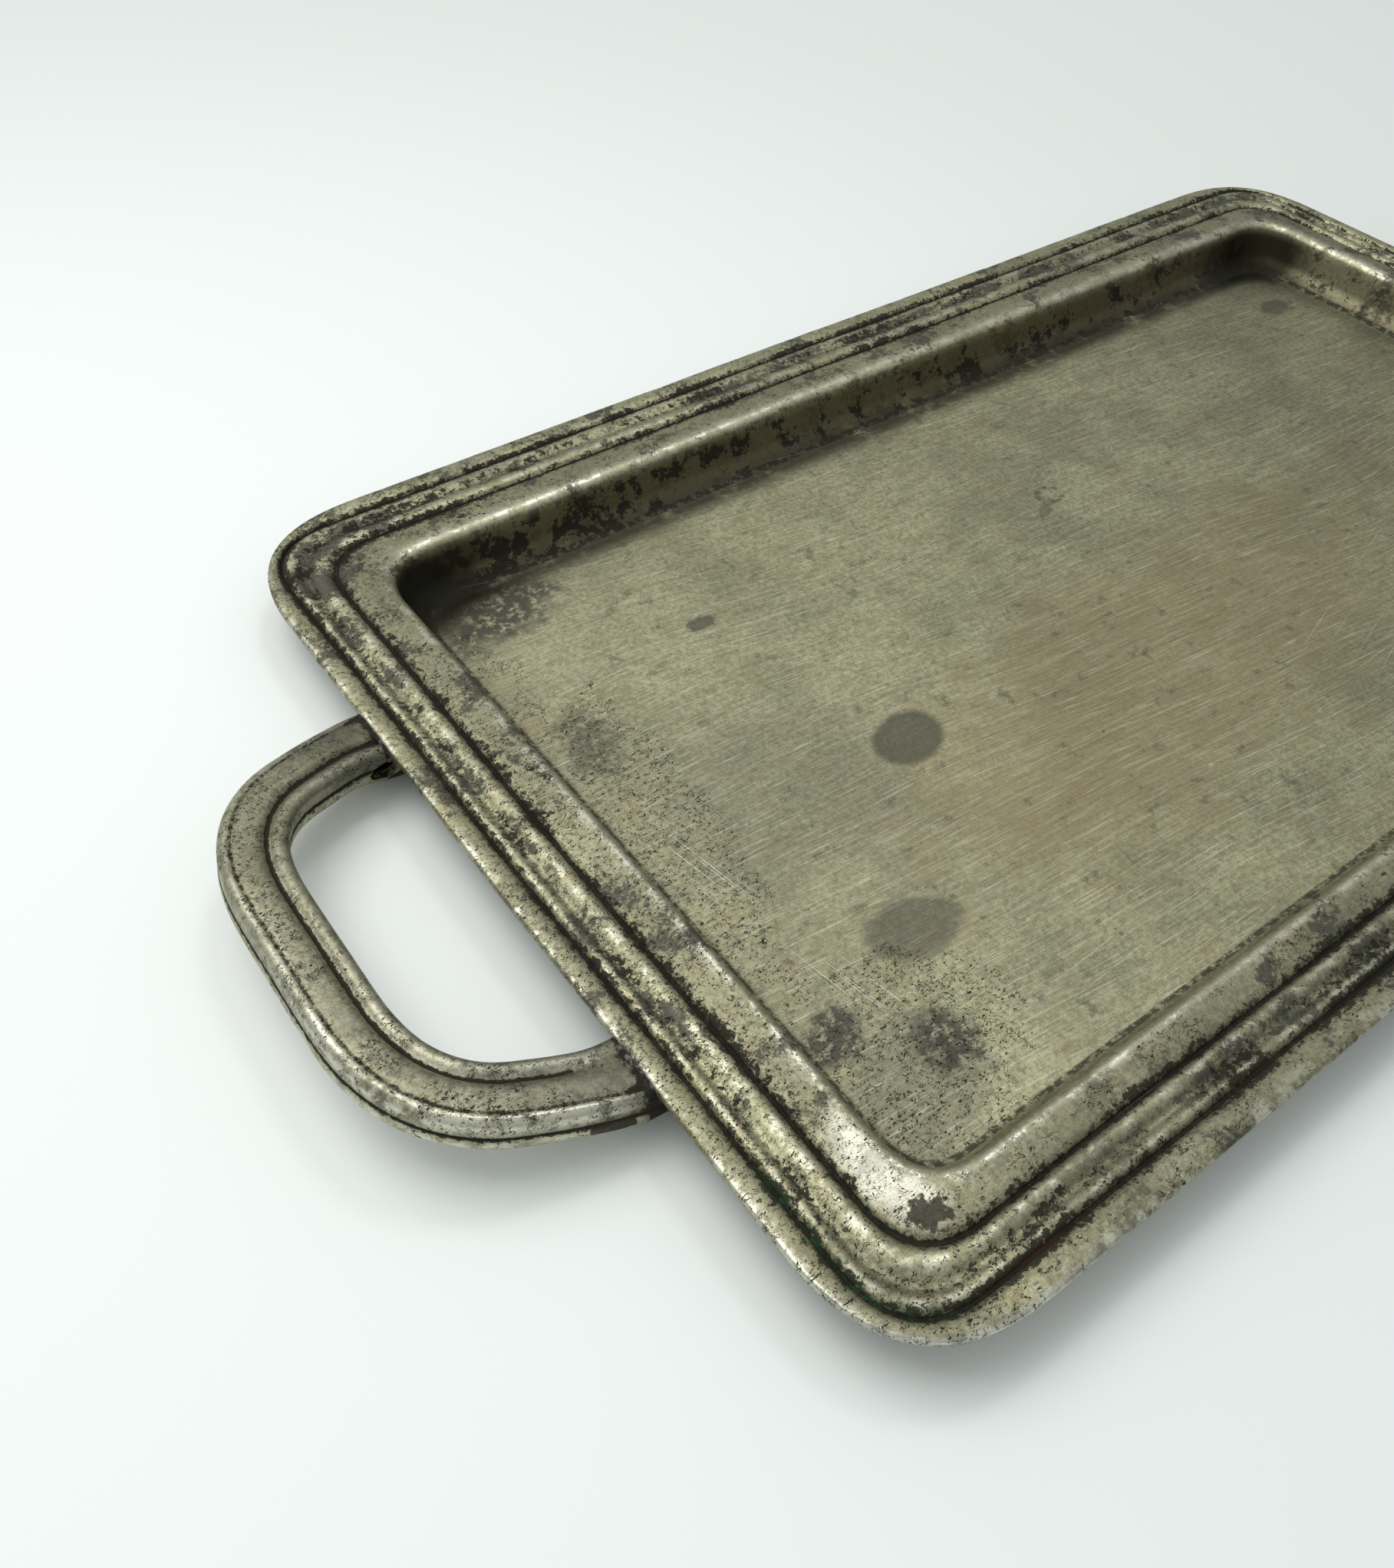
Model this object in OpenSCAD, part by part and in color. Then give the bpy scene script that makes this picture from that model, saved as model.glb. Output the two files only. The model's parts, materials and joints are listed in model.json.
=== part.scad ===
// Rectangular metal tray with a sunken floor, a moulded rim and two hollow loop handles.
// Millimetres. Origin: centre of the underside of the floor, +X along the long side, +Z up.

/* [Tray] */
// Length of the rim, edge to edge, without the handles
tray_len = 275; // [220:1:360]
// Width of the rim, edge to edge
tray_wid = 177; // [140:1:240]
// Depth of the floor below the top of the rim
well_depth = 9; // [8:0.5:11]
// Thickness of the sheet in the floor and the wall
sheet_thk = 1.4; // [1:0.1:1.6]
// Width of the rim from its edge to the shoulder of the well
rim_wid = 17; // [16:0.1:21]
// Lean of the wall from the vertical, in degrees
wall_lean = 15; // [10:1:28]

/* [Mouldings] */
// Width of the smooth outer band
outer_band_wid = 4; // [3:0.1:4.4]
// Height of the outer band above the creases
outer_band_rise = 0.5; // [0.3:0.05:0.6]
// Width of the thin reed beside the outer crease
reed_wid = 1.8; // [1:0.1:1.9]
// Height of the reed above the creases
reed_rise = 0.35; // [0.2:0.05:0.4]
// Width of the round ridge beside the inner crease
ridge_wid = 3.2; // [2.5:0.1:3.4]
// Height of the ridge above the creases
ridge_rise = 0.55; // [0.3:0.05:0.6]

/* [Handles] */
// Spacing of the two legs of a handle, centre to centre
leg_spacing = 66.8; // [56:0.2:90]
// Reach of the grip beyond the rim, to its centre line
handle_reach = 27.3; // [25:0.1:36]
// Radius of the loop's bends, on the centre line
bend_r = 20.5; // [14:0.5:21]
// Angle by which the loop rises from the rim
handle_tilt = 11; // [4:1:12]
// Width of the handle's section
grip_wid = 9.6; // [9:0.1:11]
// Height of the upper shell above the seam
upper_rise = 3.2; // [3:0.1:3.6]
// Depth of the under shell below the seam
under_drop = 3.4; // [3:0.1:3.8]
// Wall thickness of the hollow shells
shell_wall = 0.9; // [0.7:0.1:1]
// Diameter of the vent hole on the seam
vent_d = 2.4; // [1.5:0.1:3]

/* [Hidden] */
$fn = 72;
arc_steps = 6;

// Heights above the resting plane
rim_z = well_depth + sheet_thk;
crease_z = rim_z - 0.6;
flange_under_z = rim_z - 1.9;

// Each moulding turns the rim's corners at its own radius
edge_r = 18;
reed_r = 12;
ridge_r = 10;
inner_band_r = 9;
shoulder_r = 11.5;

// Distances of the mouldings in from the rim's edge
crease_wid = 0.3;
inner_crease_in = 11.3;
reed_in = outer_band_wid + crease_wid + reed_wid / 2;
ridge_in = inner_crease_in - crease_wid - ridge_wid / 2;
bead_root = 0.4;

// The wall: a convex bend at the shoulder, a straight slope and a hollow bend at the floor
shoulder_bend = 1.8;
floor_bend = 4;
bends_dz = rim_z - shoulder_bend - sheet_thk - floor_bend;
wall_run = (bends_dz * sin(wall_lean) + shoulder_bend + floor_bend) / cos(wall_lean);
flange_hole = 0.5;
wall_tab = 1.5;
floor_lap = 1;

// The handle's section, about the seam
bead_r = 1.4;
bead_foot_angle = 20;
groove_z = 2.45;
groove_gap = 0.2;
groove_lip_wid = 0.7;
groove_lip_drop = 0.2;
outer_round = 1.6;
under_round = 2.6;

// The upper shell's hollow has a low roof under the bead and a step up beside it
low_roof_z = 1.5;
roof_step_x = -0.9;
roof_step_wid = 0.6;
hollow_corner = 0.5;

// The handle's fixing
handle_seam_drop = 0.8 + upper_rise;
foot_lap = 5;
foot_solid = 1.5;
vent_out = 4.4;
solder_reach = 1.4;
solder_side = 0.8;
solder_top = 0.3;
solder_below = 1.3;
cut_size = 40;
overshoot = 1;

metal = [0.58, 0.57, 0.47];
worn_metal = [0.64, 0.63, 0.54];
under_metal = [0.50, 0.49, 0.41];
solder_grey = [0.24, 0.23, 0.20];

// Points on an arc about (cx, cy), from angle a0 to a1
function arc(cx, cy, r, a0, a1) = [
    for (i = [0 : arc_steps])
        let (a = a0 + (a1 - a0) * i / arc_steps)
            [cx + r * cos(a), cy + r * sin(a)]
];

// ---- Shapes that follow the tray's outline ----

module round_rect(len, wid, r) {
    square([len - 2 * r, wid], center = true);
    square([len, wid - 2 * r], center = true);
    for (sx = [-1, 1], sy = [-1, 1])
        translate([sx * (len / 2 - r), sy * (wid / 2 - r)])
            circle(r);
}

// Flat plate from z0 to z1, its edge a distance in from the rim's edge
module plate(inset, r, z0, z1) {
    translate([0, 0, z0])
        linear_extrude(z1 - z0)
            round_rect(tray_len - 2 * inset, tray_wid - 2 * inset, r);
}

// Sweeps a profile round the outline, a distance in from the rim's edge.
// The profile's x runs outward from the path and its y runs up.
module sweep_round(inset, r) {
    half_len = tray_len / 2 - inset;
    half_wid = tray_wid / 2 - inset;
    for (turn = [0, 180])
        rotate([0, 0, turn]) {
            translate([half_len, half_wid - r, 0])
                rotate([90, 0, 0])
                    linear_extrude(2 * (half_wid - r)) children();
            translate([-(half_len - r), half_wid, 0])
                rotate([90, 0, 90])
                    linear_extrude(2 * (half_len - r)) children();
            translate([half_len - r, half_wid - r, 0])
                rotate_extrude(angle = 90)
                    translate([r, 0]) children();
            translate([-(half_len - r), half_wid - r, 0])
                rotate([0, 0, 90])
                    rotate_extrude(angle = 90)
                        translate([r, 0]) children();
        }
}

// Low rounded bead of width w that rises h above the creases
module bead_profile(w, h) {
    r = (w * w / 4 + h * h) / (2 * h);
    half = asin(w / 2 / r);
    translate([0, crease_z])
        polygon(concat(
            arc(0, h - r, r, 90 - half, 90 + half),
            [[-w / 2, -bead_root], [w / 2, -bead_root]]));
}

// Section of the wall's sheet. x = 0 is the top of the shoulder, outward is +x.
module wall_profile() {
    shoulder_z = rim_z - shoulder_bend;
    floor_z = sheet_thk + floor_bend;
    polygon(concat(
        [[wall_tab, rim_z]],
        arc(0, shoulder_z, shoulder_bend, 90, 180 - wall_lean),
        arc(-wall_run, floor_z, floor_bend, -wall_lean, -90),
        arc(-wall_run, floor_z, floor_bend + sheet_thk, -90, -wall_lean),
        arc(0, shoulder_z, shoulder_bend - sheet_thk, 180 - wall_lean, 90),
        [[wall_tab, rim_z - sheet_thk]]));
}

module flange() {
    difference() {
        union() {
            plate(0, edge_r, flange_under_z, crease_z);
            plate(inner_crease_in, inner_band_r, crease_z - bead_root, rim_z);
            sweep_round(outer_band_wid / 2, edge_r - outer_band_wid / 2)
                bead_profile(outer_band_wid, outer_band_rise);
            sweep_round(reed_in, reed_r)
                bead_profile(reed_wid, reed_rise);
            sweep_round(ridge_in, ridge_r)
                bead_profile(ridge_wid, ridge_rise);
        }
        plate(rim_wid - flange_hole, shoulder_r + flange_hole,
              flange_under_z - overshoot, rim_z + overshoot);
    }
}

module tray_pan() {
    color(metal) {
        flange();
        sweep_round(rim_wid, shoulder_r) wall_profile();
        plate(rim_wid + wall_run - floor_lap, shoulder_r - wall_run + floor_lap, 0, sheet_thk);
    }
}

// ---- Handles: drawn for the -X end, then turned round for the +X end ----
// Section profiles: x runs outward from the loop's centre line, y = 0 is the seam.

module upper_outline() {
    side = grip_wid / 2;
    groove_x = -side + 2 * bead_r + groove_gap;
    polygon(concat(
        [[side, 0]],
        arc(side - outer_round, upper_rise - outer_round, outer_round, 0, 90),
        [[groove_x + groove_lip_wid, upper_rise],
         [groove_x + groove_lip_wid / 2, upper_rise - groove_lip_drop],
         [groove_x, groove_z]],
        arc(-side + bead_r, upper_rise - bead_r, bead_r, bead_foot_angle, 180),
        [[-side, 0]]));
}

module under_outline() {
    side = grip_wid / 2;
    polygon(concat(
        [[-side, 0]],
        arc(-side + under_round, under_round - under_drop, under_round, 180, 270),
        arc(side - under_round, under_round - under_drop, under_round, 270, 360),
        [[side, 0]]));
}

module upper_hollow() {
    side = grip_wid / 2 - shell_wall;
    roof = upper_rise - shell_wall;
    polygon([[-side, -overshoot],
             [-side, low_roof_z - hollow_corner],
             [-side + hollow_corner, low_roof_z],
             [roof_step_x, low_roof_z],
             [roof_step_x + roof_step_wid, roof],
             [side - outer_round / 2, roof],
             [side, roof - outer_round / 2],
             [side, -overshoot]]);
}

module under_hollow() {
    side = grip_wid / 2 - shell_wall;
    r = under_round - shell_wall;
    polygon(concat(
        [[-side, overshoot]],
        arc(-side + r, under_round - under_drop, r, 180, 270),
        arc(side - r, under_round - under_drop, r, 270, 360),
        [[side, overshoot]]));
}

// Sweeps a section round the loop. Its legs start a distance along the handle from the rim,
// positive outside the tray.
module sweep_loop(start) {
    leg_y = leg_spacing / 2;
    for (side = [0, 1])
        mirror([0, side, 0]) {
            translate([-(handle_reach - bend_r), leg_y, 0])
                rotate([90, 0, 90])
                    linear_extrude(handle_reach - bend_r - start) children();
            translate([-(handle_reach - bend_r), leg_y - bend_r, 0])
                rotate([0, 0, 90])
                    rotate_extrude(angle = 90)
                        translate([bend_r, 0]) children();
        }
    translate([-handle_reach, -(leg_y - bend_r), 0])
        rotate([90, 0, 180])
            linear_extrude(2 * (leg_y - bend_r)) children();
}

// Puts a handle drawn about its root at the left or right end of the tray
module at_end(end) {
    rotate([0, 0, end == "left" ? 0 : 180])
        difference() {
            translate([-tray_len / 2, 0, rim_z - handle_seam_drop])
                rotate([0, handle_tilt, 0]) children();
            rim_space();
        }
}

// Everything over the rim's underside and inside its edge
module rim_space() {
    translate([-tray_len / 2, -tray_wid / 2, flange_under_z])
        cube([cut_size, tray_wid, cut_size]);
}

module vent_hole() {
    translate([-vent_out, leg_spacing / 2, 0])
        rotate([90, 0, 0])
            cylinder(h = grip_wid, d = vent_d);
}

module handle_upper_shell(end) {
    color(worn_metal)
        at_end(end)
            difference() {
                sweep_loop(-foot_lap) upper_outline();
                sweep_loop(foot_solid) upper_hollow();
                vent_hole();
            }
}

module handle_under_shell(end) {
    color(under_metal)
        at_end(end)
            difference() {
                sweep_loop(-foot_lap) under_outline();
                sweep_loop(foot_solid) under_hollow();
                vent_hole();
            }
}

// Lower limit of the solder, measured from the handle's seam
function solder_bottom() = handle_seam_drop - (rim_z - flange_under_z) - solder_below;

// Solder round one foot, where the leg meets the rim's edge and underside
module solder_fillet(end, side) {
    wid = grip_wid + 2 * solder_side;
    color(solder_grey)
        at_end(end)
            difference() {
                translate([-solder_reach, side * leg_spacing / 2 - wid / 2, solder_bottom()])
                    cube([2 * solder_reach, wid, upper_rise + solder_top - solder_bottom()]);
                sweep_loop(-foot_lap) {
                    upper_outline();
                    under_outline();
                    groove_cover();
                }
            }
}

// Closes the groove of the leg's section, so that the solder keeps out of it
module groove_cover() {
    translate([bead_r - grip_wid / 2, 0])
        square([grip_wid / 2, upper_rise]);
}

tray_pan();
handle_upper_shell("left");  // left_handle_upper_shell
handle_under_shell("left");  // left_handle_under_shell
handle_upper_shell("right");  // right_handle_upper_shell
handle_under_shell("right");  // right_handle_under_shell
solder_fillet("left", 1);  // left_far_solder_fillet
solder_fillet("left", -1);  // left_near_solder_fillet
solder_fillet("right", -1);  // right_far_solder_fillet
solder_fillet("right", 1);  // right_near_solder_fillet
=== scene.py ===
"""Looks of a tarnished nickel-silver vanity tray with two hollow loop handles.

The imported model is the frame. Each CAD node is replaced by a finer mesh in the same place: the
pan is lofted round the tray's outline and the handle shells are swept round their loops.
Lengths are written in millimetres and turned into metres when a mesh is made.
"""

import json
import math

import bmesh
import bpy
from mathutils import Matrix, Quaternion, Vector, noise


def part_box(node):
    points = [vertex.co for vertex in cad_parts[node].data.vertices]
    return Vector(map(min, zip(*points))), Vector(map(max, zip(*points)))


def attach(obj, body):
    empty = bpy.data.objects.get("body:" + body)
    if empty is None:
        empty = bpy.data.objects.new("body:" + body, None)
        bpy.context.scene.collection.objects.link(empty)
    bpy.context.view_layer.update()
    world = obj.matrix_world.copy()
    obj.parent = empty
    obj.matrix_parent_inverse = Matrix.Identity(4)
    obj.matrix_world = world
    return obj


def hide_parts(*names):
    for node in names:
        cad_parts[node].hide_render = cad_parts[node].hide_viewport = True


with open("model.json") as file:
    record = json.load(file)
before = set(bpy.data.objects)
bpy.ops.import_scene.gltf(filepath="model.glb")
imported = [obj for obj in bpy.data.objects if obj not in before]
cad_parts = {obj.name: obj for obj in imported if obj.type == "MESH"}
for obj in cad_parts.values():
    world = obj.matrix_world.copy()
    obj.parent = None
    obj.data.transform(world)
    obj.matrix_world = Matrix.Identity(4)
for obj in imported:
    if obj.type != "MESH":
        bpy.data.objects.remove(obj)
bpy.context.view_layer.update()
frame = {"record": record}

MM = 0.001
MOUNTS = {mount["name"]: mount for mount in frame["record"]["mounts"]}
pan_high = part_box("tray_pan")[1]
HALF_LEN = pan_high.x / MM
HALF_WID = pan_high.y / MM
RIM_Z = pan_high.z / MM
SHEET = MOUNTS["display_face"]["pos_m"][2] / MM
# Depth of the rim's underside below the top of the rim
FLANGE = 1.9


# ---------------------------------------------------------------- small helpers

def arc(cx, cy, r, start, end, steps=6):
    """Points on an arc about (cx, cy), from angle start to end in degrees."""
    angles = [math.radians(start + (end - start) * i / steps) for i in range(steps + 1)]
    return [(cx + r * math.cos(a), cy + r * math.sin(a)) for a in angles]


def between(xs, values, x):
    """Value at x, straight between the knots xs."""
    if x <= xs[0]:
        return values[0]
    for i in range(len(xs) - 1):
        if x <= xs[i + 1]:
            share = (x - xs[i]) / (xs[i + 1] - xs[i])
            return values[i] + (values[i + 1] - values[i]) * share
    return values[-1]


def smooth(t):
    """Smooth step from 0 to 1."""
    t = min(max(t, 0.0), 1.0)
    return t * t * (3 - 2 * t)


def lumps(x, y, z, size, seed):
    """Smooth noise between about -1 and 1, in lumps of that size."""
    return noise.noise(Vector((x / size + seed, y / size - seed, z / size + 2 * seed)))


def make_object(name, verts, faces, layers, sharp_angle):
    """A smooth-shaded object from points in millimetres, with float layers on its points."""
    mesh = bpy.data.meshes.new(name)
    mesh.from_pydata([tuple(c * MM for c in v) for v in verts], [], faces)
    for key, values in layers.items():
        mesh.attributes.new(key, "FLOAT", "POINT").data.foreach_set("value", values)
    shell = bmesh.new()
    shell.from_mesh(mesh)
    bmesh.ops.recalc_face_normals(shell, faces=shell.faces)
    shell.to_mesh(mesh)
    shell.free()
    mesh.shade_smooth()
    mesh.set_sharp_from_angle(angle=math.radians(sharp_angle))
    obj = bpy.data.objects.new(name, mesh)
    bpy.context.scene.collection.objects.link(obj)
    return obj


def tube_faces(rows, n):
    """Quads between rows of n points each, and a cap on each end."""
    faces = [(j * n + i, j * n + (i + 1) % n, (j + 1) * n + (i + 1) % n, (j + 1) * n + i)
             for j in range(rows - 1) for i in range(n)]
    return faces + [tuple(range(n)), tuple(range((rows - 1) * n, rows * n))]


def settle(piece, node):
    """The piece stands for a CAD node and rides on the tray."""
    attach(piece, "root")
    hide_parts(node)


# ---------------------------------------------------------------- tray pan

# Where the rim's features lie, in from the edge: edge, outer crease, hollow, inner crease,
# shoulder and floor. The hammered sheet isn't quite even, so each side has its own.
FEATURES = (0.0, 4.2, 7.3, 11.2, 17.0, 23.9)
SIDE_INSETS = {
    "left": (-0.1, 3.75, 6.65, 10.75, 16.8, 22.9),
    "right": (0.0, 3.2, 6.0, 9.5, 14.2, 23.6),
    "near": (0.0, 4.75, 7.55, 10.9, 16.1, 21.8),
    "far": (0.0, 4.0, 7.8, 12.0, 18.2, 26.6),
}
# How far from the corner the curve begins, at the same features
CORNER_ONSETS = (25.0, 13.6, 12.4, 11.4, 11.0, 9.0)
CORNER_SHARES = {("left", "far"): 1.06, ("left", "near"): 0.96}
# The corner's curve is a superellipse of this power, and shrinks towards the middle of the floor
CORNER_POWER = 2.7
CORNER_SHRINK = 0.9
CORNER_STEPS = 22
LONG_STEPS = 110
SHORT_STEPS = 64
FLOOR_RINGS = 16

# Radii on the top of the sheet where the wall leaves the rim and meets the floor
SHOULDER_BEND = 1.8
FLOOR_BEND = 4.0
WALL_LEAN = 15.0

# Unevenness of the sheet, each as its height and the size of its lumps: the rim's warp, the
# floor's warp, the waves of the sides, and the ripple and the nicks of the cut edge
RIM_WARP, RIM_WARP_SIZE = 0.16, 70
FLOOR_WARP, FLOOR_WARP_SIZE = 0.12, 45
SIDE_WAVE, SIDE_WAVE_SIZE = 0.16, 38
EDGE_RIPPLE, EDGE_RIPPLE_SIZE = 0.07, 5
EDGE_NICK, EDGE_NICK_SIZE = 0.25, 6
EDGE_DEPTH = 0.8


def ring(d):
    """Closed loop of (x, y) that runs the distance d in from the edge.

    It starts at the far end of the right side and goes round by the far, left and near sides."""
    inset = {side: between(FEATURES, at, d) for side, at in SIDE_INSETS.items()}
    onset = between(FEATURES, CORNER_ONSETS, d)
    past = d - FEATURES[-1]
    if past > 0:
        inset = {side: value + past * (HALF_WID - value) / (HALF_WID - FEATURES[-1])
                 for side, value in inset.items()}
        onset *= 1 - CORNER_SHRINK * past / (HALF_WID - FEATURES[-1])
    x_at = {"left": -(HALF_LEN - inset["left"]), "right": HALF_LEN - inset["right"]}
    y_at = {"near": -(HALF_WID - inset["near"]), "far": HALF_WID - inset["far"]}
    corners = (("right", "far"), ("left", "far"), ("left", "near"), ("right", "near"))
    turns = []
    for quarter, (x_side, y_side) in enumerate(corners):
        r = onset * CORNER_SHARES.get((x_side, y_side), 1.0)
        cx = x_at[x_side] - math.copysign(r, x_at[x_side])
        cy = y_at[y_side] - math.copysign(r, y_at[y_side])
        turn = []
        for k in range(CORNER_STEPS + 1):
            a = math.radians(90 * (quarter + k / CORNER_STEPS))
            px = math.copysign(abs(math.cos(a)) ** (2 / CORNER_POWER), math.cos(a))
            py = math.copysign(abs(math.sin(a)) ** (2 / CORNER_POWER), math.sin(a))
            turn.append((cx + r * px, cy + r * py))
        turns.append(turn)
    loop = []
    for quarter, turn in enumerate(turns):
        loop += turn
        (x0, y0), (x1, y1) = turn[-1], turns[(quarter + 1) % 4][0]
        steps = (LONG_STEPS, SHORT_STEPS)[quarter % 2]
        loop += [(x0 + (x1 - x0) * k / steps, y0 + (y1 - y0) * k / steps) for k in range(1, steps)]
    return loop


def wall_bends(out):
    """The wall's shoulder arc and floor arc as (d, z), at the depth out in the sheet."""
    low = SHEET - RIM_Z
    lean = math.radians(WALL_LEAN)
    straight_dz = -low - SHOULDER_BEND - FLOOR_BEND
    run = (straight_dz * math.sin(lean) + SHOULDER_BEND + FLOOR_BEND) / math.cos(lean)
    shoulder = arc(0, -SHOULDER_BEND, SHOULDER_BEND - out, 90, 180 - WALL_LEAN, 9)
    floor = arc(-run, low + FLOOR_BEND, FLOOR_BEND + out, -WALL_LEAN, -90, 10)
    start = FEATURES[4]
    return [(start - x, z) for x, z in shoulder], [(start - x, z) for x, z in floor]


def top_profile():
    """The rim, the wall and the floor's edge as (d, z over the rim, grime, polish)."""
    edge = [(0.55, -1.90, 0.3, 0.0), (0.22, -1.80, 0.2, 0.2), (0.05, -1.55, 0.1, 0.2),
            (0.0, -1.20, 0.0, 0.2), (0.0, -0.85, 0.0, 0.3), (0.07, -0.62, 0.0, 0.8),
            (0.22, -0.47, 0.0, 1.0), (0.45, -0.38, 0.0, 0.8)]
    outer_band = [(0.9, -0.30, 0.0, 0.4), (1.6, -0.28, 0.0, 0.2), (2.3, -0.33, 0.0, 0.0),
                  (2.9, -0.43, 0.0, 0.0), (3.4, -0.60, 0.05, 0.0), (3.72, -0.82, 0.25, 0.0)]
    outer_crease = [(3.92, -1.08, 0.7, 0.0), (4.12, -1.22, 1.0, 0.0), (4.32, -1.18, 1.0, 0.0),
                    (4.5, -0.98, 0.55, 0.0)]
    reed = [(4.68, -0.70, 0.2, 0.0), (4.95, -0.50, 0.0, 0.2), (5.3, -0.39, 0.0, 0.5),
            (5.7, -0.38, 0.0, 0.4), (6.15, -0.48, 0.05, 0.1), (6.5, -0.64, 0.2, 0.0)]
    hollow = [(6.85, -0.84, 0.35, 0.0), (7.25, -0.92, 0.45, 0.0), (7.65, -0.84, 0.3, 0.0)]
    ridge = [(8.0, -0.60, 0.15, 0.0), (8.4, -0.36, 0.0, 0.2), (8.9, -0.20, 0.0, 0.5),
             (9.4, -0.13, 0.0, 0.7), (9.9, -0.17, 0.0, 0.5), (10.35, -0.32, 0.0, 0.2),
             (10.7, -0.58, 0.15, 0.0)]
    inner_crease = [(10.92, -0.90, 0.6, 0.0), (11.12, -1.10, 1.0, 0.0), (11.34, -1.12, 1.0, 0.0),
                    (11.54, -0.92, 0.7, 0.0)]
    inner_band = [(11.76, -0.62, 0.35, 0.0), (12.1, -0.40, 0.15, 0.0), (12.6, -0.28, 0.05, 0.0),
                  (13.4, -0.20, 0.0, 0.0), (14.4, -0.12, 0.0, 0.0), (15.4, -0.05, 0.0, 0.05),
                  (16.3, -0.01, 0.0, 0.3)]
    shoulder_arc, floor_arc = wall_bends(0.0)
    # The shoulder's polish also carries the painted highlight along it, as well as wear
    shoulder = [(d, z, 0.0, 1.0 - 0.7 * smooth(-z / 1.2)) for d, z in shoulder_arc]
    wall = []
    for share in (0.25, 0.5, 0.75):
        d = shoulder_arc[-1][0] + (floor_arc[0][0] - shoulder_arc[-1][0]) * share
        z = shoulder_arc[-1][1] + (floor_arc[0][1] - shoulder_arc[-1][1]) * share
        wall.append((d, z, 0.1, 0.0))
    bend = [(d, z, 0.25, 0.0) for d, z in floor_arc]
    return (edge + outer_band + outer_crease + reed + hollow + ridge + inner_crease + inner_band
            + shoulder + wall + bend)


def under_profile():
    """The underside from the edge to the floor, in the same form."""
    flange = [(d, -FLANGE, 0.3, 0.0) for d in (1.0, 5.0, 10.0, 14.5, 16.2)]
    shoulder_arc, floor_arc = wall_bends(SHEET)
    joint = [(d, z, 0.6, 0.0) for d, z in shoulder_arc if z < -FLANGE + 0.05]
    return flange + joint + [(d, z, 0.2, 0.1) for d, z in floor_arc]


def make_pan():
    """The pan: one closed strip of profile, from under the floor to over it, lofted round the outline."""
    spare = HALF_WID - FEATURES[-1]
    floor_at = [FEATURES[-1] + spare * 0.985 * (k / FLOOR_RINGS) ** 1.3
                for k in range(1, FLOOR_RINGS + 1)]
    floor_top = [(d, SHEET - RIM_Z, 0.1, 0.0) for d in floor_at]
    floor_under = [(d, -RIM_Z, 0.1, 0.1) for d in floor_at]
    under = list(reversed(under_profile() + floor_under))
    strip = under + top_profile() + floor_top
    verts, grime, polish_and_highlight, inset = [], [], [], []
    for row, (d, z, dirt, shine) in enumerate(strip):
        rise = (z + RIM_Z) / RIM_Z
        on_top = row >= len(under)
        for x, y in ring(d):
            lift = RIM_WARP * rise * lumps(x, y, 0, RIM_WARP_SIZE, 5.0)
            if on_top:
                lift += FLOOR_WARP * (1 - rise) * lumps(x, y, 0, FLOOR_WARP_SIZE, 3.0)
            push = SIDE_WAVE * lumps(x, y, 0, SIDE_WAVE_SIZE, 2.0) * smooth(rise * 2)
            if d < EDGE_DEPTH:
                nick = smooth(lumps(x, y, z, EDGE_NICK_SIZE, 9.0) * 4 - 1.6)
                push += EDGE_RIPPLE * lumps(x, y, z, EDGE_RIPPLE_SIZE, 1.0) - EDGE_NICK * nick
            out = Vector((x / HALF_LEN, y / HALF_WID)).normalized()
            verts.append((x + out.x * push, y + out.y * push, RIM_Z + z + lift))
            grime.append(dirt)
            polish_and_highlight.append(shine)
            inset.append(d)
    n = len(ring(0.0))
    rows = len(strip)
    # The two innermost rings are closed by quads across them, from the middle of the right side
    faces = tube_faces(rows, n)[:-2]
    middle = n - SHORT_STEPS // 2
    for start in (0, (rows - 1) * n):
        for k in range(n // 2):
            left, right = middle + k, middle - k
            quad = [start + i % n for i in (left, left + 1, right - 1, right)]
            faces.append(tuple(dict.fromkeys(quad)))
    layers = {"grime": grime, "polish_and_highlight": polish_and_highlight, "inset": inset}
    pan = make_object("pan", verts, faces, layers, sharp_angle=60)
    settle(pan, "tray_pan")
    return pan


# ---------------------------------------------------------------- handles

# A handle is drawn about its root: x = 0 is the rim's edge, -x is away from the tray, and v = 0
# is the seam between its shells. It is then tilted and put at its end of the tray.
# Its legs are called far and near after the side of the tray on which they stand.
END_TURN = {"left": 1, "right": -1}
LEG_SIDE = {"far": 1, "near": -1}
grip_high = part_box("left_handle_upper_shell")[1]
GRIP_WID = 9.6
LEG_Y = grip_high.y / MM - GRIP_WID / 2
# Reach of the grip's centre line beyond the rim's edge
REACH = 27.3
# The loop's bends are superellipses of this reach and power
LOOP_ONSET = 25.4
LOOP_POWER = 2.6
BEND_STEPS = 40
# How far a leg runs in under the rim
FOOT_LAP = 4.9
# Height of the upper shell above the seam, depth of the under shell below it
UPPER_RISE = 3.2
UNDER_DROP = 3.4
SHELL_WALL = 0.9
# Depth of the seam below the top of the rim, at the root: the upper shell's top lies 0.8 lower
SEAM_DROP = 0.8 + UPPER_RISE
TILT = math.radians(11)
# The photographed handle's legs splay by this much at the root, and it stands off centre
SPLAY = 2.0
SPLAY_RUN = 15
SIDE_SHIFT = -1.5

# Along a leg, the length before the root over which it thickens and loses its polish, and how
# much wider each side and deeper the under shell grows
FOOT_RUN = 7
FOOT_WIDEN = 0.45
FOOT_DEEPEN = 0.18
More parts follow.
